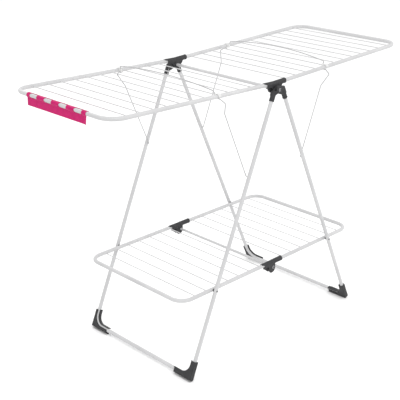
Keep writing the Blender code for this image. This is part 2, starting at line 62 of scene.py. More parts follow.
RAIL_Y = 0.267
WING_TILT = math.radians(1.88)
WING_RISE = 0.020
WING_LENGTH = 0.7636
WING_CORNER = 0.060
WING_WIRE_PITCH = 0.0577
LEFT_WING_WIRES = (11, 0.1086, WING_WIRE_PITCH)
RIGHT_WING_WIRES = (12, 0.0749, WING_WIRE_PITCH)

SHELF_Z = 0.3248
SHELF_RISE = 0.0195
SHELF_LENGTH = 0.4827
SHELF_CORNER = 0.052
LEFT_SHELF_WIRES = (7, 0.0630, 0.0574)
RIGHT_SHELF_WIRES = (7, 0.0683, 0.0589)
RAIL_END = 0.0045

SLEEVE_RADIUS = 0.0098
CHEEK_HALF = 0.0094
CHEEK_HUB_RADIUS = 0.015
CHEEK_TOP = (-0.034, 0.036)
CHEEK_CORNER = (0.026, 0.004)
SHELF_CHEEK_TOP = (-0.0255, 0.0125)
SHELF_PLATE = (-0.007, -0.003)
SHELF_PLATE_RADIUS = 0.0185
SLOT_HALF = 0.0078
CONNECTOR_REACH = (0.060, 0.053)
LUG_HALF = 0.0045
LUG_HUB_RADIUS = 0.0092
TOP_CROSSBAR_RADIUS = 0.0060
SHELF_CROSSBAR_RADIUS = 0.0050
JOURNAL_RADIUS = 0.0030
PIN_HOLE_RADIUS = 0.0033
CAP_RADIUS = 0.0065

SOCKET_RADIUS = 0.0094
SOCKET_START = 0.016
RIGHT_SOCKET_SHOULDER = 0.0015
SOCKET_HUB_RADIUS = 0.0150
SOCKET_PLATE_END = 0.030
INNER_PLATE_Y = (0.2768, 0.2843)
OUTER_PLATE_Y = (0.2847, 0.2925)
SOCKET_END = 0.049

FOOT_HALF = 0.0105
FOOT_OUTER_DEPTH = 0.0100
FOOT_LIP = 0.0105
FOOT_BACK_WALL = 0.0039
SPACER_RADIUS = 0.0060

STAY_ANGLE = math.radians(22.91)
STAY_ARM_Y = 0.2700
STAY_KNEE_Y = 0.2935
STAY_KNEE = (0.284, 0.333)
STAY_HOOK = 0.347
STAY_HOOK_Y = 0.2600
STAY_CORNER = 0.004
STAY_PIN_DEPTH = 0.0055

ARCH_X = 0.2918
ARCH_LEAN = STAY_ANGLE + WING_TILT
ARCH_Y = 0.2520
ARCH_FOOT = -0.004
ARCH_SHOULDER = 0.0200
ARCH_CROWN = 0.0388
ARCH_CORNER = 0.006
CLIP_RADIUS = 0.0102
CLIP_HALF_WIDTH = 0.0065
CLIP_BOSS_RADIUS = 0.0042
CLIP_BOSS = (-0.0070, 0.0105)

STRIP_Y = (-0.152, 0.175)
STRIP_WALL = 0.0014
STRIP_DROP = 0.0360
STRIP_OPENING = (math.radians(275), math.radians(35))
STRIP_WINDOWS_Y = (-0.1090, -0.0267, 0.0556, 0.1379)
STRIP_WINDOW_HALF = 0.0205
STRIP_WINDOW_TURN = math.radians(155)
STRIP_WINDOW_HEIGHT = 0.0100

SIDES = (("left", -1), ("right", 1))
ENDS = (("near", -1), ("far", 1))

# ---- places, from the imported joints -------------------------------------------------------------
JOINT_PLACES = {joint["name"]: Vector(joint["pos_m"]) for joint in frame["joints"]}


def place(point, turn_y=0.0):
    return Matrix.Translation(Vector(point)) @ Matrix.Rotation(turn_y, 4, "Y")


AXLE = place(JOINT_PLACES["leg_fold"])
SHELF_AXLE = place(JOINT_PLACES["left_shelf_fold"])
LEGS = {side: AXLE @ place((0, 0, 0), -side * LEG_ANGLE) for _, side in SIDES}
WINGS = {side: AXLE @ place((0, 0, 0), -side * WING_TILT) for _, side in SIDES}
SEATS = {side: WINGS[side] @ place((side * ARCH_X, 0, WING_RISE), side * ARCH_LEAN) for _, side in SIDES}
STAYS = {side: place(JOINT_PLACES[name + "_stay_swing"], side * STAY_ANGLE) for name, side in SIDES}


# ---- materials ----------------------------------------------------------------------------------
class Finish:
    """A procedural material: mottled colour, edges painted paler (part wear, part painted highlight), uneven
    roughness and a fine bump.
    """

    def __init__(self, name, metallic=0.0):
        self.material = bpy.data.materials.new(name)
        self.material.use_nodes = True
        self.tree = self.material.node_tree
        self.shader = self.tree.nodes["Principled BSDF"]
        self.shader.inputs["Metallic"].default_value = metallic
        self.coords = self.tree.nodes.new("ShaderNodeTexCoord").outputs["Object"]

    def link(self, output, target):
        self.tree.links.new(output, target)

    def noise(self, scale, detail, stretch=None):
        texture = self.tree.nodes.new("ShaderNodeTexNoise")
        texture.inputs["Scale"].default_value = scale
        texture.inputs["Detail"].default_value = detail
        texture.inputs["Roughness"].default_value = 0.55
        source = self.coords
        if stretch:
            mapping = self.tree.nodes.new("ShaderNodeMapping")
            mapping.inputs["Scale"].default_value = stretch
            self.link(source, mapping.inputs["Vector"])
            source = mapping.outputs["Vector"]
        self.link(source, texture.inputs["Vector"])
        return texture.outputs["Fac"]

    def spread(self, source, low, high, to_low, to_high):
        """source mapped from low..high to to_low..to_high."""
        node = self.tree.nodes.new("ShaderNodeMapRange")
        for socket, value in zip(("From Min", "From Max", "To Min", "To Max"), (low, high, to_low, to_high)):
            node.inputs[socket].default_value = value
        self.link(source, node.inputs["Value"])
        return node.outputs["Result"]

    def blend(self, factor, first, second):
        node = self.tree.nodes.new("ShaderNodeMix")
        node.data_type = "RGBA"
        self.link(factor, node.inputs["Factor"])
        for socket, value in ((node.inputs[6], first), (node.inputs[7], second)):
            if isinstance(value, tuple):
                socket.default_value = (*value, 1.0)
            else:
                self.link(value, socket)
        return node.outputs[2]

    def product(self, first, second):
        node = self.tree.nodes.new("ShaderNodeMath")
        node.operation = "MULTIPLY"
        self.link(first, node.inputs[0])
        self.link(second, node.inputs[1])
        return node.outputs[0]

    def edges(self, low, high):
        """0 on flats rising to 1 on convex edges."""
        geometry = self.tree.nodes.new("ShaderNodeNewGeometry")
        return self.spread(geometry.outputs["Pointiness"], low, high, 0.0, 1.0)

    def colour(self, output):
        self.link(output, self.shader.inputs["Base Color"])

    def roughness(self, output):
        self.link(output, self.shader.inputs["Roughness"])

    def bump(self, layers):
        """Stacked bumps from (height output, depth in metres, strength) rows."""
        normal = None
        for height, depth, strength in layers:
            node = self.tree.nodes.new("ShaderNodeBump")
            node.inputs["Distance"].default_value = depth
            node.inputs["Strength"].default_value = strength
            self.link(height, node.inputs["Height"])
            if normal is not None:
                self.link(normal, node.inputs["Normal"])
            normal = node.outputs["Normal"]
        self.link(normal, self.shader.inputs["Normal"])


def powder_coat(name, dark, light):
    """Powder coat: orange peel, faint shade changes and a little grime in patches."""
    made = Finish(name)
    broad = made.spread(made.noise(9.0, 3.0), 0.35, 0.65, 0.0, 1.0)
    coat = made.blend(broad, dark, light)
    grime = made.product(
        made.spread(made.noise(38.0, 6.0), 0.56, 0.78, 0.0, 0.55),
        made.spread(made.noise(5.0, 2.0), 0.50, 0.70, 0.0, 1.0),
    )
    made.colour(made.blend(grime, coat, (0.36, 0.35, 0.33)))
    made.roughness(made.spread(made.noise(60.0, 4.0), 0.3, 0.7, 0.34, 0.52))
    made.shader.inputs["Coat Weight"].default_value = 0.15
    made.shader.inputs["Coat Roughness"].default_value = 0.25
    made.bump(
        [
            (made.noise(620.0, 2.0), 0.00018, 0.35),
            (made.noise(1700.0, 1.0), 0.00006, 0.25),
        ]
    )
    return made.material


def moulded(name, dark, light, worn_and_highlit, roughness, grain, specular=0.5):
    """Injection-moulded plastic with a spark-eroded grain, and convex edges painted paler: part rubbed wear,
    part painted highlight where light catches them.
    """
    made = Finish(name)
    made.shader.inputs["Specular IOR Level"].default_value = specular
    broad = made.spread(made.noise(55.0, 4.0), 0.35, 0.65, 0.0, 1.0)
    body = made.blend(broad, dark, light)
    # convex edges are mixed towards a paler colour: part rubbed wear, part painted highlight
    edge_wear_and_highlight = made.product(
        made.edges(0.52, 0.60),
        made.spread(made.noise(160.0, 5.0), 0.42, 0.66, 0.0, 0.8),
    )
    made.colour(made.blend(edge_wear_and_highlight, body, worn_and_highlit))
    made.roughness(made.spread(made.noise(240.0, 4.0), 0.3, 0.7, roughness[0], roughness[1]))
    made.bump(
        [
            (made.noise(1500.0, 3.0), grain, 0.45),
            (made.noise(420.0, 2.0), grain * 1.5, 0.15),
        ]
    )
    return made.material


def zinc():
    """Zinc-plated rivet heads with turning marks and a dull bloom."""
    made = Finish("zinc_rivet", metallic=0.9)
    broad = made.spread(made.noise(260.0, 4.0), 0.3, 0.7, 0.0, 1.0)
    made.colour(made.blend(broad, (0.30, 0.30, 0.31), (0.40, 0.40, 0.41)))
    made.roughness(made.spread(made.noise(700.0, 3.0), 0.3, 0.7, 0.26, 0.46))
    made.bump([(made.noise(500.0, 2.0, (1.0, 9.0, 1.0)), 0.00006, 0.3)])
    return made.material


# each moulded finish's paler edge colour stands for both wear and a painted edge highlight
MATERIALS = {
    "white_powder_coat": powder_coat("powder_coat_white", (0.490, 0.490, 0.496), (0.540, 0.540, 0.545)),
    "dark_grey_plastic": moulded(
        "grey_moulding",
        dark=(0.026, 0.026, 0.028),
        light=(0.034, 0.034, 0.036),
        worn_and_highlit=(0.070, 0.070, 0.073),
        roughness=(0.46, 0.62),
        grain=0.00012,
        specular=0.3,
    ),
    "white_plastic": moulded(
        "white_moulding",
        dark=(0.60, 0.60, 0.60),
        light=(0.66, 0.66, 0.655),
        worn_and_highlit=(0.74, 0.74, 0.74),
        roughness=(0.38, 0.50),
        grain=0.00006,
    ),
    "zinc_plated_steel": zinc(),
    "pink_plastic": moulded(
        "pink_moulding",
        dark=(0.47, 0.002, 0.112),
        light=(0.53, 0.004, 0.130),
        worn_and_highlit=(0.60, 0.03, 0.19),
        roughness=(0.40, 0.50),
        grain=0.00005,
        specular=0.15,
    ),
}
STRUT_COAT = powder_coat("powder_coat_struts", (0.370, 0.370, 0.375), (0.420, 0.420, 0.425))


# ---- pieces -------------------------------------------------------------------------------------
SHARP_EDGE = math.radians(42)


def add_piece(name, solids, matrix, slot, body, *nodes, coat=None):
    """One object from (points, faces) solids in local coordinates, riding on a body in place of CAD nodes."""
    points, faces, count = [], [], 0
    for solid_points, solid_faces in solids:
        points.append(np.asarray(solid_points, float))
        faces += [tuple(int(i) + count for i in face) for face in solid_faces]
        count += len(solid_points)
    mesh = bpy.data.meshes.new(name)
    mesh.from_pydata(np.concatenate(points).tolist(), [], faces)
    mesh.transform(matrix)
    mesh.materials.append(coat or MATERIALS[slot])
    mesh.shade_smooth()
    mesh.set_sharp_from_angle(angle=SHARP_EDGE)
    piece = bpy.data.objects.new(name, mesh)
    bpy.context.scene.collection.objects.link(piece)
    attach(piece, body)
    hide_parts(*nodes)


def mirrored(solid, axis):
    """The solid mirrored across the plane where that coordinate is 0, still facing outwards."""
    points, faces = solid
    points = np.array(points, float)
    points[:, axis] *= -1
    return points, [tuple(reversed([int(i) for i in face])) for face in faces]


def sided(solid, side, y_sign):
    """A solid made for +X and +Y, turned to the given side and end."""
    if side < 0:
        solid = mirrored(solid, 0)
    if y_sign < 0:
        solid = mirrored(solid, 1)
    return solid


def shifted(solid, offset):
    return np.asarray(solid[0], float) + np.asarray(offset, float), solid[1]


# ---- bars and turned parts ----------------------------------------------------------------------
def rounded(corners, radius, steps=16):
    """A path of 2D points with each inner corner replaced by an arc of the given radius."""
    path = [Vector(corners[0])]
    for before, corner, after in zip(corners, corners[1:], corners[2:]):
        here = Vector(corner)
        back = (Vector(before) - here).normalized()
        ahead = (Vector(after) - here).normalized()
        half = back.angle(ahead) / 2
        reach = radius / math.tan(half)
        centre = here + (back + ahead).normalized() * (radius / math.sin(half))
        start = here + back * reach - centre
        sweep = start.angle_signed(here + ahead * reach - centre)
        for i in range(steps + 1):
            spoke = start.copy()
            spoke.rotate(Matrix.Rotation(-sweep * i / steps, 2))
            path.append(centre + spoke)
    path.append(Vector(corners[-1]))
    return [tuple(point) for point in path]


def bar(path, radius, normal, sides=32, soften=0.0):
    """A solid round bar along a flat path, with one radius or one for each point, and eased ends."""
    path = np.array(path, float)
    radii = np.full(len(path), radius, float) if np.isscalar(radius) else np.array(radius, float)
    if soften:
        first = (path[1] - path[0]) / np.linalg.norm(path[1] - path[0])
        last = (path[-2] - path[-1]) / np.linalg.norm(path[-2] - path[-1])
        steps = ((0.0, 1.0), (0.3, 0.3), (1.0, 0.0))
        head = [path[0] + first * soften * along for along, _ in steps]
        tail = [path[-1] + last * soften * along for along, _ in reversed(steps)]
        eased = [soften * less for _, less in steps]
        radii = np.concatenate([radii[0] - eased, radii[1:-1], radii[-1] - eased[::-1]])
        path = np.concatenate([head, path[1:-1], tail])
    forward = np.diff(path, axis=0)
    forward /= np.linalg.norm(forward, axis=1)[:, None]
    tangents = np.concatenate([forward[:1], forward[:-1] + forward[1:], forward[-1:]])
    tangents /= np.linalg.norm(tangents, axis=1)[:, None]
    normal = np.array(normal, float)
    across = np.cross(tangents, normal)
    across /= np.linalg.norm(across, axis=1)[:, None]
    turns = math.tau * np.arange(sides) / sides
    spokes = np.cos(turns)[None, :, None] * across[:, None, :] + np.sin(turns)[None, :, None] * normal
    points = (path[:, None, :] + radii[:, None, None] * spokes).reshape(-1, 3)
    faces = [tuple(range(sides)), tuple(range(len(points) - 1, len(points) - sides - 1, -1))]
    for i in range(len(path) - 1):
        for k in range(sides):
            after = (k + 1) % sides
            faces.append((i * sides + after, i * sides + k, (i + 1) * sides + k, (i + 1) * sides + after))
    return points, faces


def turned(profile, sides=36):
    """A body of revolution about the Y axis from (y, radius) points, from one end to the other."""
    path = [(0.0, y, 0.0) for y, _ in profile]
    radii = [radius for _, radius in profile]
    return bar(path, radii, (1.0, 0.0, 0.0), sides)


# ---- moulded parts, from distance fields --------------------------------------------------------
def smooth_min(a, b, reach):
    share = np.clip(0.5 + 0.5 * (b - a) / reach, 0, 1)
    return b * (1 - share) + a * share - reach * share * (1 - share)


def smooth_max(a, b, reach):
    return -smooth_min(-a, -b, reach)


def polygon(u, v, corners):
    """Signed distance to a polygon, negative inside."""
    nearest = np.full(np.shape(u), np.inf)
    sign = np.ones(np.shape(u))
    for (ax, ay), (bx, by) in zip(corners, list(corners[1:]) + [corners[0]]):
        ex, ey = bx - ax, by - ay
        wx, wy = u - ax, v - ay
        along = np.clip((wx * ex + wy * ey) / (ex * ex + ey * ey), 0, 1)
        nearest = np.minimum(nearest, (wx - ex * along) ** 2 + (wy - ey * along) ** 2)
        above, below, left = v >= ay, v < by, ex * wy > ey * wx
        sign = np.where((above & below & left) | ~(above | below | left), -sign, sign)
    return sign * np.sqrt(nearest)


def block(u, v, low, high):
    """Signed distance to a rectangle, negative inside."""
    a = np.abs(u - (low[0] + high[0]) / 2) - (high[0] - low[0]) / 2
    b = np.abs(v - (low[1] + high[1]) / 2) - (high[1] - low[1]) / 2
    return np.minimum(np.maximum(a, b), 0) + np.hypot(np.maximum(a, 0), np.maximum(b, 0))


def slab(flat, across, half, edge):
    """A flat outline's distance given a thickness along a third axis, its edges rounded."""
    a, b = flat + edge, np.abs(across) - half + edge
    return np.minimum(np.maximum(a, b), 0) + np.hypot(np.maximum(a, 0), np.maximum(b, 0)) - edge


def tangent(point, radius, turn):
    """Where a line from the point touches a disc round the origin, on the side of the turn's sign."""
    reach = math.acos(radius / math.hypot(*point))
    angle = math.atan2(point[1], point[0]) + turn * reach
    return radius * math.cos(angle), radius * math.sin(angle)


def shield(u, v, corners, radius):
    """A disc round the origin joined by straight sides to a row of corners, listed clockwise."""
    outline = [tangent(corners[0], radius, 1)] + list(corners) + [tangent(corners[-1], radius, -1)]
    return np.minimum(polygon(u, v, outline), np.hypot(u, v) - radius)


def carved(shape, low, high, step):
    """A closed mesh round where shape(x, y, z) is below 0, with a point in each cell that it crosses."""
    axes = [np.arange(low[i], high[i] + step, step) for i in range(3)]
    x, y, z = np.meshgrid(*axes, indexing="ij")
    value = shape(x, y, z)
    cells = np.array(value.shape) - 1
    weight = np.zeros(cells.prod())
    total = np.zeros((cells.prod(), 3))
    quads = []
    for axis in range(3):
        others = [(axis + 1) % 3, (axis + 2) % 3]
        low_end = np.take(value, range(cells[axis]), axis)
        high_end = np.take(value, range(1, cells[axis] + 1), axis)
        edge = np.argwhere((low_end < 0) != (high_end < 0))
        edge = edge[np.all((edge[:, others] > 0) & (edge[:, others] < cells[others]), axis=1)]
        a = low_end[tuple(edge.T)]
        b = high_end[tuple(edge.T)]
        point = edge.astype(float)
        point[:, axis] += a / (a - b)
        corner_cells = []
        for back_u, back_v in ((0, 0), (1, 0), (1, 1), (0, 1)):
            cell = edge.copy()
            cell[:, others[0]] -= back_u
            cell[:, others[1]] -= back_v
            index = np.ravel_multi_index(cell.T, cells)
            weight += np.bincount(index, minlength=len(weight))
            for i in range(3):
                total[:, i] += np.bincount(index, point[:, i], len(weight))
            corner_cells.append(index)
        quad = np.stack(corner_cells, axis=1)
        quad[a >= 0] = quad[a >= 0][:, ::-1]
        quads.append(quad)
    used = weight > 0
    number = np.cumsum(used) - 1
    points = np.array(low) + step * total[used] / weight[used][:, None]
    for _ in range(2):
        points = settled(shape, points, step)
    return points, number[np.concatenate(quads)]


def settled(shape, points, step):
    """Points moved along the field's slope onto its surface, by less than a cell."""
    nudge = step * 0.1
    here = shape(*points.T)
    slope = np.empty_like(points)
    for i in range(3):
        aside = np.zeros(3)
        aside[i] = nudge
        slope[:, i] = (shape(*(points + aside).T) - shape(*(points - aside).T)) / (2 * nudge)
    steep = np.maximum((slope**2).sum(axis=1), 0.25)
    move = -slope * (here / steep)[:, None]
    length = np.linalg.norm(move, axis=1)
    move *= np.minimum(1, 0.4 * step / np.maximum(length, 1e-9))[:, None]
    return points + move


def thinned(solid, ratio):
    """The mesh with flat areas merged to a share of its faces."""
    points, faces = solid
    mesh = bpy.data.meshes.new("thinning")
    mesh.from_pydata(np.asarray(points).tolist(), [], np.asarray(faces).tolist())
    helper = bpy.data.objects.new("thinning", mesh)
    bpy.context.scene.collection.objects.link(helper)
    modifier = helper.modifiers.new("Thin", "DECIMATE")
    modifier.ratio = ratio
    graph = bpy.context.evaluated_depsgraph_get()
    result = helper.evaluated_get(graph).to_mesh()
    points = [tuple(vert.co) for vert in result.vertices]
    faces = [tuple(face.vertices) for face in result.polygons]
    bpy.data.objects.remove(helper, do_unlink=True)
    bpy.data.meshes.remove(mesh)
    return np.array(points), faces


FINE = 0.0006
FINER = 0.0005
KEPT_SHARE = 0.30
CUT_EDGE = 0.0004


def moulding(shape, low, high, step=FINE):
    return thinned(carved(shape, low, high, step), KEPT_SHARE)


# ---- hinge mouldings ----------------------------------------------------------------------------
SLEEVE_EDGE = 0.0007
RING_HEIGHT = 0.0006
RING_HALF = 0.0018
ROOF_RADIUS = SLEEVE_RADIUS - 0.0006
ROOF_LAP = 0.003
CLAW_LOW, CLAW_HIGH = (-0.0575, -0.0108), (0.004, 0.002)
BITE_PLACE = (-0.0605, -0.0020)
BITE_SIZE = (0.0130, 0.0072)
POCKET_RIM = 0.0028
POCKET_HUB_RADIUS = 0.0068
POCKET_TOP = 0.0005
POCKET_DEPTH = 0.0006
SLOT_BOTTOM = -0.05
SLOT_END = 0.045
CHANNEL_LAP = 0.001
LEG_SIDE = INNER_PLATE_Y[0] - GAP - RAIL_Y

LUG_RIM = 0.0034
LUG_BOSS_RADIUS = 0.0060
LUG_HOLLOW_DEPTH = 0.0007
WING_LUG = [(-0.022, -0.0120), (-0.030, -0.0080), (-0.036, 0.0020), (-0.037, 0.0150), (-0.004, 0.0150)]
SHELF_LUG = [(-0.036, -0.0040), (-0.046, 0.0060), (-0.046, 0.0145), (-0.006, 0.0145)]


def connector_shape(rise, slope, plate):
    """The hinge piece: sleeve on the right rail, roof and claws over the left one, cheeks round the axle.

    The sleeve is flat towards the leg, to clear the leg's socket as the wing folds.
    """
    left, right = CONNECTOR_REACH

    def shape(x, y, z):
        v = y - RAIL_Y
        over = z - rise - slope * np.abs(x)
        rail = np.hypot(v, over)
        sleeve = slab(rail - SLEEVE_RADIUS, x - right / 2, right / 2, SLEEVE_EDGE)
        ring = slab(rail - SLEEVE_RADIUS - RING_HEIGHT, x - right + RING_HALF, RING_HALF, 0.0006)
        roof = slab(rail - ROOF_RADIUS, x + left / 2 - ROOF_LAP, left / 2 + ROOF_LAP, SLEEVE_EDGE)
        claws = slab(block(x, over, CLAW_LOW, CLAW_HIGH), v, CHEEK_HALF, 0.0006)
        outline = plate(x, z)
        cheeks = slab(outline, v, CHEEK_HALF, 0.0010)
        body = smooth_min(np.minimum(sleeve, roof), ring, 0.0008)
        body = smooth_min(body, smooth_min(cheeks, claws, 0.0015), 0.0016)
        pocket = np.maximum(outline + POCKET_RIM, POCKET_HUB_RADIUS - np.hypot(x, z))
        pocket = np.maximum(pocket, over + SLEEVE_RADIUS - POCKET_TOP)
        pocket = np.maximum(pocket, CHEEK_HALF - POCKET_DEPTH - np.abs(v))
        body = smooth_max(body, -pocket, 0.0006)
        bite = np.hypot((x - BITE_PLACE[0]) / BITE_SIZE[0], (over - BITE_PLACE[1]) / BITE_SIZE[1]) - 1
        body = smooth_max(body, -bite * BITE_SIZE[1], 0.0008)
        slot = block(v, z, (-SLOT_HALF, SLOT_BOTTOM), (SLOT_HALF, rise - SLEEVE_RADIUS))
        slot = np.maximum(slot, x - SLOT_END)
        channel = block(v, z, (-SLOT_HALF, SLOT_BOTTOM), (SLOT_HALF, rise))
        channel = np.maximum(channel, x - RAIL_END + CHANNEL_LAP)
        body = smooth_max(body, -np.minimum(slot, channel), CUT_EDGE)
        body = smooth_max(body, BORE_RADIUS - rail, CUT_EDGE)
        body = smooth_max(body, v - LEG_SIDE, 0.0003)
        return smooth_max(body, PIN_HOLE_RADIUS - np.hypot(x, z), CUT_EDGE)

    return shape


def wing_plate(x, z):
    corners = [(CHEEK_TOP[0], WING_RISE), (CHEEK_TOP[1], WING_RISE), CHEEK_CORNER]
    return shield(x, z, corners, CHEEK_HUB_RADIUS)


def shelf_plate(x, z):
    aside, below = SHELF_PLATE
    corners = [(end - aside, SHELF_RISE - below) for end in SHELF_CHEEK_TOP]
    return shield(x - aside, z - below, corners, SHELF_PLATE_RADIUS)


def lug_shape(rise, corners):
    """The plate under the left rail's end that turns on the axle between the cheeks."""

    def shape(x, y, z):
        v = y - RAIL_Y
        outline = shield(x, z, corners, LUG_HUB_RADIUS)
        plate = slab(outline, v, LUG_HALF, 0.0009)
        hollow = slab(outline + LUG_RIM, np.abs(v) - LUG_HALF, LUG_HOLLOW_DEPTH, 0.0003)
        hollow = np.maximum(hollow, LUG_BOSS_RADIUS - np.hypot(x, z))
        plate = smooth_max(plate, -hollow, 0.0005)
        plate = smooth_max(plate, BORE_RADIUS - np.hypot(v, z - rise), 0.0003)
        return smooth_max(plate, PIN_HOLE_RADIUS - np.hypot(x, z), CUT_EDGE)

    return shape


# ---- leg sockets --------------------------------------------------------------------------------
LEFT_CUP_START = 0.0085
RIGHT_CUP_START = SOCKET_START - 0.002
SOCKET_BAND_HALF = 0.006
SOCKET_RIM_HEIGHT = 0.0006
SOCKET_RIM_HALF = 0.0016
SOCKET_CLEARING = SOCKET_HUB_RADIUS + 0.0006
LEFT_CLEARING_Y = 0.2844
RIGHT_CLEARING_Y = 0.2846
RIB_LOW = (LEG_OFFSET - 0.0019, -0.0440)
RIB_HIGH = (LEG_OFFSET + 0.0019, -0.0075)
RIB_Y = 0.2935
RIB_DEPTH = 0.0021
SEAM_OFFSET = 0.0052
SEAM_HALF_WIDTH = 0.0005
SEAM_Y = 0.2932
SEAM_DROP = 0.036
SEAM_HALF = 0.0125


def socket_shape(side):
    """The socket on top of a leg: a hub plate round the axle and a cup over the tube's end."""
    plate_y = INNER_PLATE_Y if side < 0 else OUTER_PLATE_Y
    low, high = LEG_OFFSET - SOCKET_RADIUS, LEG_OFFSET + SOCKET_RADIUS
    shoulder = SOCKET_START if side < 0 else RIGHT_SOCKET_SHOULDER
    corners = [(high, -shoulder), (high, -SOCKET_PLATE_END), (low, -SOCKET_PLATE_END)]
    start = LEFT_CUP_START if side < 0 else RIGHT_CUP_START

    def shape(x, y, z):
        across = side * x
        outline = shield(across, z, corners, SOCKET_HUB_RADIUS)
        plate = slab(outline, y - sum(plate_y) / 2, (plate_y[1] - plate_y[0]) / 2, 0.0009)
        cup = np.hypot(across - LEG_OFFSET, y - LEG_Y)
        sleeve = slab(cup - SOCKET_RADIUS, z + (SOCKET_END + start) / 2, (SOCKET_END - start) / 2, 0.0022)
        band = slab(cup - SOCKET_RADIUS + 0.0001, z + SOCKET_END - SOCKET_BAND_HALF, SOCKET_BAND_HALF, 0.0006)
        rim_height = z + SOCKET_END - SOCKET_RIM_HALF
        rim = slab(cup - SOCKET_RADIUS - SOCKET_RIM_HEIGHT, rim_height, SOCKET_RIM_HALF, 0.0006)
        body = smooth_min(plate, np.minimum(sleeve, band), 0.0030)
        body = smooth_min(body, rim, 0.0008)
        if side < 0:
            rib = slab(block(across, z, RIB_LOW, RIB_HIGH), y - RIB_Y, RIB_DEPTH, 0.0008)
            body = smooth_min(body, rib, 0.0008)
            clearing = np.maximum(np.hypot(across, z) - SOCKET_CLEARING, LEFT_CLEARING_Y - y)
        else:
            seam = np.abs(np.abs(across - LEG_OFFSET) - SEAM_OFFSET) - SEAM_HALF_WIDTH
            seam = np.maximum(seam, SEAM_Y - y)
            seam = np.maximum(seam, np.abs(z + SEAM_DROP) - SEAM_HALF)
            body = smooth_max(body, -seam, 0.0005)
            clearing = np.maximum(np.hypot(across, z) - SOCKET_CLEARING, y - RIGHT_CLEARING_Y)
        body = smooth_max(body, -clearing, 0.0003)
        bore = np.maximum(cup - BORE_RADIUS, z + LEG_TOP - GAP)
        body = smooth_max(body, -bore, CUT_EDGE)
        body = smooth_max(body, INNER_PLATE_Y[0] - y, 0.0005)
        return smooth_max(body, PIN_HOLE_RADIUS - np.hypot(across, z), CUT_EDGE)

    return shape


# ---- feet ---------------------------------------------------------------------------------------
FOOT_WALL = [
    (0.2040, 0.0045),
    (0.2035, -0.0300),
    (0.2955, -0.0300),
    (0.2955, 0.0),
    (0.2948, 0.0610),
    (0.2400, 0.0610),
    (0.2400, 0.0450),
]
FOOT_CORNER = (0.2890, -0.0090)
FOOT_CORNER_RADIUS = 0.0065
FOOT_CHAMFER_NORMAL = (-0.371, 0.928)
LIP_TOP, LIP_END = 0.0630, 0.2003
WEB_TOP, WEB_END, WEB_HALF = 0.0605, 0.2035, 0.0090
FLANGE_LOW, FLANGE_HIGH = (0.2020, -0.0300), (0.2120, -0.0085)
WIDE_SLOT_TOP, NARROW_SLOT_TOP = -0.0005, -0.0030
COVER_DEPTH, COVER_FACE = 0.0080, 0.0040
WIDE_GROOVE_Y = (0.2060, 0.2560)
WIDE_GROOVE_FACE = 0.0098
NARROW_GROOVE_Y = 0.2580
NARROW_GROOVE_FACE = 0.0020
RIDGES_Y = (0.2690, 0.2755, 0.2820)
RIDGE_HALF, RIDGE_DROP, RIDGE_REACH, RIDGE_FACE = 0.0009, 0.0030, 0.0036, 0.0099


def foot_shape(y_sign, wide):
    """A right foot round its frame's bend: a channel along the tube, open on one face."""
    open_face = -y_sign
    slot_top = WIDE_SLOT_TOP if wide else NARROW_SLOT_TOP
    floor = Matrix.Rotation(LEG_ANGLE, 3, "Y") @ Vector((0, 0, 1))
    hub_height = JOINT_PLACES["leg_fold"].z
    bend_y, bend_h = LEG_Y - LEG_BEND, LEG_BEND

    def shape(x, y, z):
        u = y_sign * y
        h = z + LEG_LENGTH
        across = x - LEG_OFFSET
        face = across * open_face
        arc = np.hypot(u - bend_y, h - bend_h) - LEG_BEND
        out = np.where((u > bend_y) & (h < bend_h), arc, np.where(h >= bend_h, u - LEG_Y, -h))
        wall = np.maximum(polygon(u, h, FOOT_WALL), -out - BORE_RADIUS + 0.0002)
        corner = np.hypot(u - FOOT_CORNER[0], h - FOOT_CORNER[1]) - FOOT_CORNER_RADIUS
        wall = np.where((u > FOOT_CORNER[0]) & (h < FOOT_CORNER[1]), np.maximum(wall, corner), wall)
        lip = np.abs(out + (FOOT_LIP + BORE_RADIUS) / 2 - GAP) - (FOOT_LIP - BORE_RADIUS) / 2 - GAP
        lip = np.maximum(lip, np.maximum(h - LIP_TOP, LIP_END - u))
        web = np.abs(out + 0.0005) - WEB_HALF
        web = np.maximum(web, np.maximum(h - WEB_TOP, WEB_END - u))
        thick = slab(wall, across, FOOT_HALF, 0.0040)
        thin = slab(np.minimum(lip, web), across, FOOT_HALF, 0.0009)
        flange = slab(block(u, h, FLANGE_LOW, FLANGE_HIGH), across, FOOT_HALF, 0.0008)
        body = smooth_min(smooth_min(thick, thin, 0.0006), flange, 0.0010)
        opening = np.maximum(out - slot_top, FOOT_BACK_WALL - FOOT_HALF - face)
        if wide:
            groove = np.maximum(u - WIDE_GROOVE_Y[1], WIDE_GROOVE_Y[0] - u)
            groove = np.maximum(np.abs(out + 0.0079) - 0.0005, groove)
            groove = np.maximum(groove, face + WIDE_GROOVE_FACE)
        else:
            opening = np.maximum(opening, -np.maximum(out + COVER_DEPTH, face - COVER_FACE))
            groove = np.maximum(u - NARROW_GROOVE_Y, face + NARROW_GROOVE_FACE)
            groove = np.maximum(np.abs(out + 0.0050) - 0.0028, groove)
        body = smooth_max(body, -opening, 0.0005)
        body = smooth_max(body, -groove, 0.0005)
        for ridge_y in RIDGES_Y:
            ridge = np.abs(u - ridge_y) - RIDGE_HALF
            sides = np.maximum(np.abs(h + RIDGE_DROP) - RIDGE_REACH, RIDGE_FACE - np.abs(across))
            body = smooth_max(body, -np.maximum(ridge, sides), 0.0006)
        body = smooth_max(body, BORE_RADIUS - np.hypot(out, across), CUT_EDGE)
        under = -(floor.x * x + floor.z * z) - hub_height
        chamfer = -FOOT_CHAMFER_NORMAL[0] * (across - FOOT_HALF)
        chamfer = chamfer - FOOT_CHAMFER_NORMAL[1] * (h + FOOT_OUTER_DEPTH)
        return smooth_max(smooth_max(body, under, CUT_EDGE), chamfer, 0.0006)

    return shape


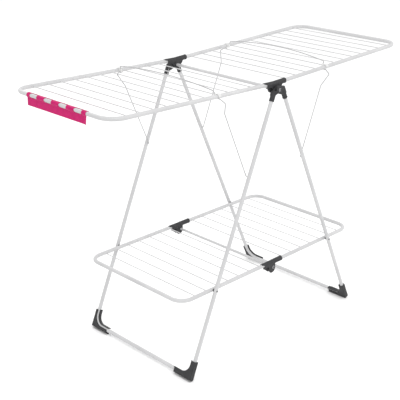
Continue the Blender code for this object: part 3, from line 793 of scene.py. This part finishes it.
# ---- clips and hanger strip ---------------------------------------------------------------------
CLIP_LIP = 0.0016
CLIP_RIB_HEIGHT, CLIP_RIB_HALF, CLIP_RIB_LIP = 0.0007, 0.0016, 0.0020
CLIP_WEB_LOW, CLIP_WEB_HIGH, CLIP_WEB_HALF = (ARCH_Y, -0.0050), (0.2600, 0.0060), 0.0030

STRIP_NEAR_LENGTH = 0.014
STRIP_NEAR_FLARE = 0.0030
STRIP_FLARE_TOP, STRIP_FLARE_LENGTH = 0.008, 0.028
TOOTH_HEIGHT, TOOTH_PITCH = 0.0006, 0.0046
FLAP_TOP = -0.0072
WINDOW_INNER_RADIUS = 0.004


def clip_shape():
    """The saddle that snaps over a wing rail, with the boss that holds an arch's foot."""
    lean_cos, lean_sin = math.cos(ARCH_LEAN), math.sin(ARCH_LEAN)

    def shape(x, y, z):
        along = x * lean_cos + z * lean_sin
        over = -x * lean_sin + z * lean_cos
        rail = np.hypot(y - RAIL_Y, over)
        saddle = slab(rail - CLIP_RADIUS, along, CLIP_HALF_WIDTH, 0.0008)
        saddle = smooth_max(saddle, -over - CLIP_LIP, 0.0008)
        rib = slab(rail - CLIP_RADIUS - CLIP_RIB_HEIGHT, along, CLIP_RIB_HALF, 0.0006)
        saddle = smooth_min(saddle, np.maximum(rib, -over + CLIP_RIB_LIP), 0.0008)
        post = np.hypot(x, y - ARCH_Y)
        boss_half = (CLIP_BOSS[1] - CLIP_BOSS[0]) / 2
        boss = slab(post - CLIP_BOSS_RADIUS, z - sum(CLIP_BOSS) / 2, boss_half, 0.0009)
        web = slab(block(y, z, CLIP_WEB_LOW, CLIP_WEB_HIGH), x, CLIP_WEB_HALF, 0.0008)
        body = smooth_min(smooth_min(saddle, web, 0.0018), boss, 0.0018)
        foot = np.maximum(post - STAY_WIRE_RADIUS - GAP, ARCH_FOOT - GAP - z)
        body = smooth_max(body, -foot, CUT_EDGE)
        return smooth_max(body, BORE_RADIUS - rail, CUT_EDGE)

    return shape


def strip_shape(x, y, z):
    """The hanger strip: a wrap round the end rail with four windows, and a flap with a toothed lower edge."""
    inner, outer = BORE_RADIUS, BORE_RADIUS + STRIP_WALL
    near_end = np.clip((STRIP_Y[0] + STRIP_NEAR_LENGTH - y) / STRIP_NEAR_LENGTH, 0, 1)
    down = np.clip((-STRIP_FLARE_TOP - z) / STRIP_FLARE_LENGTH, 0, 1)
    across = x + STRIP_NEAR_FLARE * near_end**2 * down
    radius = np.hypot(x, z)
    turn = np.arctan2(z, x) % math.tau
    middle, half = STRIP_OPENING
    off = np.abs((turn - middle + math.pi) % math.tau - math.pi)
    opening = radius * np.sin(np.clip(half - off, -math.pi / 2, math.pi / 2))
    wrap = np.maximum(np.abs(radius - (inner + outer) / 2) - STRIP_WALL / 2, opening)
    teeth = TOOTH_HEIGHT * np.abs(((y / TOOTH_PITCH) % 1.0) * 2 - 1)
    edge_x = -(inner + STRIP_WALL * 0.8) * 0.5
    flap = block(across, z, (edge_x - STRIP_WALL / 2, -STRIP_DROP), (edge_x + STRIP_WALL / 2, FLAP_TOP))
    flap = np.maximum(flap, -z - STRIP_DROP + teeth)
    body = smooth_min(wrap, flap, 0.0012)
    centre_y = (STRIP_Y[0] + STRIP_Y[1]) / 2
    body = smooth_max(body, np.abs(y - centre_y) - (STRIP_Y[1] - STRIP_Y[0]) / 2, 0.0006)
    round_about = (turn - STRIP_WINDOW_TURN) * (inner + outer) / 2
    for window in STRIP_WINDOWS_Y:
        beyond = np.maximum(y - window - STRIP_WINDOW_HALF + STRIP_WINDOW_HEIGHT, 0)
        hole = np.hypot(round_about, beyond) - STRIP_WINDOW_HEIGHT
        hole = smooth_max(hole, window - STRIP_WINDOW_HALF - y, 0.0012)
        body = smooth_max(body, -np.maximum(hole, WINDOW_INNER_RADIUS - radius), 0.0006)
    return body


# ---- building each kind of piece ----------------------------------------------------------------
ALONG_X = (1.0, 0.0, 0.0)
ALONG_Z = (0.0, 0.0, 1.0)

# (y, how much thinner than the tube) down to where the tube's end meets its twin
LEG_NECK_Y = 0.0200
LEG_NECK = [
    (0.0160, 0.0),
    (0.0150, 0.0003),
    (0.0120, 0.0003),
    (0.0108, 0.0),
    (0.0022, 0.0),
    (0.0008, 0.0003),
    (GAP / 2, 0.0011),
]
# (distance from the rail's middle, times the wire's radius) along a weld bead
WELD_BEAD = [(0.0, 2.1), (0.0062, 2.1), (0.0074, 1.95), (0.0082, 1.55), (0.0092, 1.18), (0.0106, 1.0)]
ARCH_STEPS = 28


def leg_tube(side, y_sign):
    """One L-shaped tube, drawn in and crimped a little where it meets its twin at the bottom bar's middle."""
    corners = [(LEG_Y, -LEG_TOP), (LEG_Y, -LEG_LENGTH), (LEG_NECK_Y, -LEG_LENGTH)]
    path = rounded(corners, LEG_BEND, 24)
    path += [(y, -LEG_LENGTH) for y, _ in LEG_NECK]
    radii = [TUBE_RADIUS] * (len(path) - len(LEG_NECK)) + [TUBE_RADIUS - less for _, less in LEG_NECK]
    solid = bar([(LEG_OFFSET, y, z) for y, z in path], radii, ALONG_X, 40)
    return sided(solid, side, y_sign)


def weld_wire(x, rise, random):
    """A drying wire with a small uneven weld bead at each rail."""
    path, radii = [], []
    for end in (-1, 1):
        size = 0.90 + 0.25 * random.random()
        rows = []
        for distance, swell in WELD_BEAD:
            bead = 1 + (swell - 1) * size
            rows.append((end * (RAIL_Y - distance), bead * WIRE_RADIUS))
        rows = rows if end < 0 else rows[::-1]
        path += [(x, y, rise) for y, _ in rows]
        radii += [radius for _, radius in rows]
    return bar(path, radii, ALONG_Z, 14)


def rack_frame(side, rise, length, corner, wires, random):
    """A U-shaped rail with its drying wires welded across."""
    corners = [(RAIL_END, -RAIL_Y), (length, -RAIL_Y), (length, RAIL_Y), (RAIL_END, RAIL_Y)]
    path = [(side * x, y, rise) for x, y in rounded(corners, corner, 24)]
    count, first, pitch = wires
    solids = [bar(path, TUBE_RADIUS, ALONG_Z, 40, soften=0.0007)]
    for i in range(count):
        solids.append(weld_wire(side * (first + pitch * i), rise, random))
    return solids


def stay_wire(y_sign):
    corners = [
        (LEG_Y - TUBE_RADIUS + STAY_PIN_DEPTH, 0.0),
        (STAY_ARM_Y, 0.0),
        (STAY_ARM_Y, STAY_KNEE[0]),
        (STAY_KNEE_Y, STAY_KNEE[1]),
        (STAY_HOOK_Y + 0.012, STAY_HOOK),
        (STAY_HOOK_Y, STAY_HOOK),
    ]
    path = [(0.0, y_sign * y, z) for y, z in rounded(corners, STAY_CORNER, 10)]
    return bar(path, STAY_WIRE_RADIUS, ALONG_X, 20, soften=0.0005)


def arch_wire():
    crown = []
    for i in range(1, ARCH_STEPS):
        y = ARCH_Y * (2 * i / ARCH_STEPS - 1)
        crown.append((y, ARCH_CROWN - (ARCH_CROWN - ARCH_SHOULDER) * (y / ARCH_Y) ** 2))
    first = rounded([(-ARCH_Y, ARCH_FOOT), (-ARCH_Y, ARCH_SHOULDER), crown[0]], ARCH_CORNER, 8)[:-1]
    last = [(-y, z) for y, z in reversed(first)]
    path = [(0.0, y, z) for y, z in first + crown + last]
    return bar(path, STAY_WIRE_RADIUS, ALONG_X, 20, soften=0.0005)


def cap(y):
    """A rivet head: a stepped rim, a dome and a dimple in the middle.

    The dimple's outer ring is not valid, because bar has no direction where the profile turns back on itself.
    """
    inner = y + GAP
    return turned(
        [
            (inner, CAP_RADIUS - 0.0003),
            (inner + 0.0003, CAP_RADIUS),
            (inner + 0.0009, CAP_RADIUS),
            (inner + 0.0012, CAP_RADIUS - 0.0003),
            (inner + 0.0013, CAP_RADIUS - 0.0010),
            (inner + 0.0018, CAP_RADIUS - 0.0014),
            (inner + 0.0020, CAP_RADIUS - 0.0022),
            (inner + 0.0019, 0.0026),
            (inner + 0.0004, 0.0022),
            (inner + 0.0003, 0.0004),
        ]
    )


def bush():
    """The bush between a leg and the shelf rail, with the pin through the leg and its head outside."""
    low, high = RAIL_Y + TUBE_RADIUS + GAP, LEG_Y - TUBE_RADIUS - GAP
    outside = LEG_Y + TUBE_RADIUS
    return turned(
        [
            (low, SPACER_RADIUS - 0.0004),
            (low + 0.0004, SPACER_RADIUS),
            (high - 0.0004, SPACER_RADIUS),
            (high, SPACER_RADIUS - 0.0004),
            (high + 0.0001, 0.0020),
            (outside - 0.0002, 0.0020),
            (outside - 0.0001, 0.0034),
            (outside + 0.0006, 0.0034),
            (outside + 0.0013, 0.0026),
            (outside + 0.0016, 0.0012),
        ],
        28,
    )


def crossbar(radius, journal_y):
    bar_y = RAIL_Y - CHEEK_HALF - GAP
    half = [
        (bar_y - 0.0007, radius),
        (bar_y - 0.0002, radius - 0.0002),
        (bar_y, radius - 0.0007),
        (bar_y + 0.00005, JOURNAL_RADIUS),
        (journal_y - 0.0004, JOURNAL_RADIUS),
        (journal_y, JOURNAL_RADIUS - 0.0004),
    ]
    return turned([(-y, radius) for y, radius in reversed(half)] + half, 40)


# ---- assembly -----------------------------------------------------------------------------------
# the spaces that the mouldings are carved from
SOCKET_SPACE_X = (-0.018, 0.031)
SOCKET_SPACE_Y = (0.2755, 0.2965)
FOOT_SPACE_Y = (0.196, 0.299)
HINGE_SPACE_Y = (0.2555, 0.2785)


def build_legs():
    sockets = {}
    for _, side in SIDES:
        left, right = sorted(side * x for x in SOCKET_SPACE_X)
        low = (left, SOCKET_SPACE_Y[0], -SOCKET_END - 0.002)
        high = (right, SOCKET_SPACE_Y[1], 0.018)
        sockets[side] = moulding(socket_shape(side), low, high)
    feet = {}
    for _, y_sign in ENDS:
        inside, outside = sorted(y_sign * y for y in FOOT_SPACE_Y)
        low = (LEG_OFFSET - 0.0125, inside, -LEG_LENGTH - 0.022)
        high = (LEG_OFFSET + 0.0125, outside, -LEG_LENGTH + 0.066)
        feet[y_sign] = moulding(foot_shape(y_sign, y_sign > 0), low, high)
    for name, side in SIDES:
        for end, y_sign in ENDS:
            tag = name + "_" + end
            body = name + "_legs"
            tube = leg_tube(side, y_sign)
            add_piece(tag + "_leg", [tube], LEGS[side], "white_powder_coat", body, tag + "_leg_tube")
            distance = (LEGS[side] @ Vector((side * LEG_OFFSET, 0, 0)) - Vector((0, 0, SHELF_Z))).z
            distance /= math.cos(LEG_ANGLE)
            spacer = shifted(bush() if y_sign > 0 else mirrored(bush(), 1), (side * LEG_OFFSET, 0, -distance))
            add_piece(tag + "_bush", [spacer], LEGS[side], "dark_grey_plastic", body, tag + "_shelf_bush")
            socket = sockets[side] if y_sign > 0 else mirrored(sockets[side], 1)
            add_piece(tag + "_socket", [socket], LEGS[side], "dark_grey_plastic", body, tag + "_leg_socket")
            shoe = feet[y_sign] if side > 0 else mirrored(mirrored(feet[-y_sign], 0), 1)
            add_piece(tag + "_shoe", [shoe], LEGS[side], "dark_grey_plastic", body, tag + "_foot")


def build_frames():
    random = np.random.default_rng(7)
    wing = (WING_RISE, WING_LENGTH, WING_CORNER)
    shelf = (SHELF_RISE, SHELF_LENGTH, SHELF_CORNER)
    rows = (
        ("left_wing", -1, wing, LEFT_WING_WIRES, WINGS[-1]),
        ("right_wing", 1, wing, RIGHT_WING_WIRES, WINGS[1]),
        ("left_shelf", -1, shelf, LEFT_SHELF_WIRES, SHELF_AXLE),
        ("right_shelf", 1, shelf, RIGHT_SHELF_WIRES, SHELF_AXLE),
    )
    for body, side, sizes, wires, matrix in rows:
        solids = rack_frame(side, *sizes, wires, random)
        add_piece(body + "_rack", solids, matrix, "white_powder_coat", body, body + "_frame")


def build_hinges():
    wing_slope = math.tan(WING_TILT)
    wing = (WING_RISE, wing_slope, wing_plate, WING_LUG)
    shelf = (SHELF_RISE, 0.0, shelf_plate, SHELF_LUG)
    left, right = CONNECTOR_REACH
    inside, outside = HINGE_SPACE_Y
    made = {}
    for kind, (rise, slope, plate, corners) in (("wing", wing), ("shelf", shelf)):
        low, high = (-left - 0.003, inside, -0.024), (right + 0.003, outside, rise + 0.014)
        hinge = moulding(connector_shape(rise, slope, plate), low, high)
        low, high = (-0.050, inside, -0.015), (0.012, outside, rise)
        made[kind] = hinge, moulding(lug_shape(rise, corners), low, high)
    for end, y_sign in ENDS:
        for kind, matrix, lug_matrix in (("wing", AXLE, WINGS[-1]), ("shelf", SHELF_AXLE, SHELF_AXLE)):
            hinge, lug = made[kind] if y_sign > 0 else [mirrored(solid, 1) for solid in made[kind]]
            name = end + "_" + kind
            grey = "dark_grey_plastic"
            add_piece(name + "_hinge", [hinge], matrix, grey, "right_" + kind, name + "_connector")
            add_piece(name + "_hinge_lug", [lug], lug_matrix, grey, "left_" + kind, name + "_lug")
        rivets = (
            (end + "_axle", OUTER_PLATE_Y[1], AXLE, "right_legs"),
            (end + "_shelf_axle", RAIL_Y + CHEEK_HALF, SHELF_AXLE, "right_shelf"),
        )
        for name, y, matrix, body in rivets:
            solid = cap(y) if y_sign > 0 else mirrored(cap(y), 1)
            add_piece(name + "_rivet", [solid], matrix, "zinc_plated_steel", body, name + "_cap")
    top = crossbar(TOP_CROSSBAR_RADIUS, OUTER_PLATE_Y[1])
    add_piece("top_axle_bar", [top], AXLE, "white_powder_coat", "right_legs", "top_crossbar")
    lower = crossbar(SHELF_CROSSBAR_RADIUS, RAIL_Y + CHEEK_HALF)
    add_piece("shelf_axle_bar", [lower], SHELF_AXLE, "white_powder_coat", "right_shelf", "shelf_crossbar")


def build_wing_fittings():
    saddle = moulding(clip_shape(), (-0.012, 0.2460, -0.009), (0.012, 0.2790, 0.014), FINER)
    coat = "white_powder_coat"
    for name, side in SIDES:
        wing = name + "_wing"
        add_piece(name + "_arch", [arch_wire()], SEATS[side], coat, wing, wing + "_arch", coat=STRUT_COAT)
        for end, y_sign in ENDS:
            tag = name + "_" + end
            stay = stay_wire(y_sign)
            stays = name + "_stays"
            add_piece(tag + "_stay", [stay], STAYS[side], coat, stays, tag + "_stay_wire", coat=STRUT_COAT)
            clip = sided(saddle, side, y_sign)
            add_piece(tag + "_clip", [clip], SEATS[side], "white_plastic", wing, tag + "_arch_clip")
    seat = WINGS[-1] @ place((-WING_LENGTH, 0, WING_RISE))
    low = (-0.0125, STRIP_Y[0] - 0.002, -STRIP_DROP - 0.002)
    high = (0.0115, STRIP_Y[1] + 0.002, 0.0115)
    solid = moulding(strip_shape, low, high, FINER)
    add_piece("hanger_rail_strip", [solid], seat, "pink_plastic", "left_wing", "hanger_strip")


# ---- studio -------------------------------------------------------------------------------------
CAMERA_PLACE = Vector((-2.4707, -2.4597, 1.9219))
CAMERA_YAW, CAMERA_PITCH, CAMERA_ROLL = 0.7799, 0.3837, -0.0063
CAMERA_LENS = 83.72
CAMERA_SHIFT = (-0.0413, -0.0016)
FLOOR_HALF = 40.0
FLOOR_Z = -0.0004
DAYLIGHT = 1.05
LIGHT_AIM = (0.0, 0.0, 0.5)
# name, place, size, power
SOFTBOXES = [
    ("key_softbox", (-1.5, -2.6, 4.2), 3.0, 60.0),
    ("fill_softbox", (3.6, -2.0, 2.6), 2.6, 25.0),
    ("back_softbox", (0.6, 3.6, 3.4), 2.6, 25.0),
]


def build_camera():
    data = bpy.data.cameras.new("studio_camera")
    data.lens = CAMERA_LENS
    data.shift_x, data.shift_y = CAMERA_SHIFT
    data.clip_end = 100.0
    forward = Vector(
        (
            math.sin(CAMERA_YAW) * math.cos(CAMERA_PITCH),
            math.cos(CAMERA_YAW) * math.cos(CAMERA_PITCH),
            -math.sin(CAMERA_PITCH),
        )
    )
    level = Vector((math.cos(CAMERA_YAW), -math.sin(CAMERA_YAW), 0.0))
    upright = level.cross(forward)
    right = math.cos(CAMERA_ROLL) * level + math.sin(CAMERA_ROLL) * upright
    up = right.cross(forward)
    matrix = Matrix((right, up, -forward)).transposed().to_4x4()
    matrix.translation = CAMERA_PLACE
    camera = bpy.data.objects.new("studio_camera", data)
    camera.matrix_world = matrix
    bpy.context.scene.collection.objects.link(camera)
    bpy.context.scene.camera = camera


def soft_light(name, place_at, size, power):
    data = bpy.data.lights.new(name, "AREA")
    data.shape = "DISK"
    data.size = size
    data.energy = power
    light = bpy.data.objects.new(name, data)
    light.location = place_at
    light.rotation_euler = (Vector(LIGHT_AIM) - Vector(place_at)).to_track_quat("-Z", "Y").to_euler()
    bpy.context.scene.collection.objects.link(light)


def build_studio():
    world = bpy.data.worlds.new("studio_white")
    world.use_nodes = True
    world.node_tree.nodes["Background"].inputs["Color"].default_value = (1.0, 1.0, 1.0, 1.0)
    world.node_tree.nodes["Background"].inputs["Strength"].default_value = DAYLIGHT
    bpy.context.scene.world = world
    bpy.context.scene.view_settings.view_transform = "Standard"

    mesh = bpy.data.meshes.new("studio_floor")
    corners = [(x * FLOOR_HALF, y * FLOOR_HALF, FLOOR_Z) for x, y in ((-1, -1), (1, -1), (1, 1), (-1, 1))]
    mesh.from_pydata(corners, [], [(0, 1, 2, 3)])
    pale = Finish("studio_floor_white")
    pale.shader.inputs["Roughness"].default_value = 0.9
    pale.colour(pale.blend(pale.noise(1.5, 2.0), (0.95, 0.95, 0.95), (0.97, 0.97, 0.97)))
    mesh.materials.append(pale.material)
    floor = bpy.data.objects.new("studio_floor", mesh)
    bpy.context.scene.collection.objects.link(floor)

    for softbox in SOFTBOXES:
        soft_light(*softbox)


build_camera()
build_studio()
build_legs()
build_frames()
build_hinges()
build_wing_fittings()
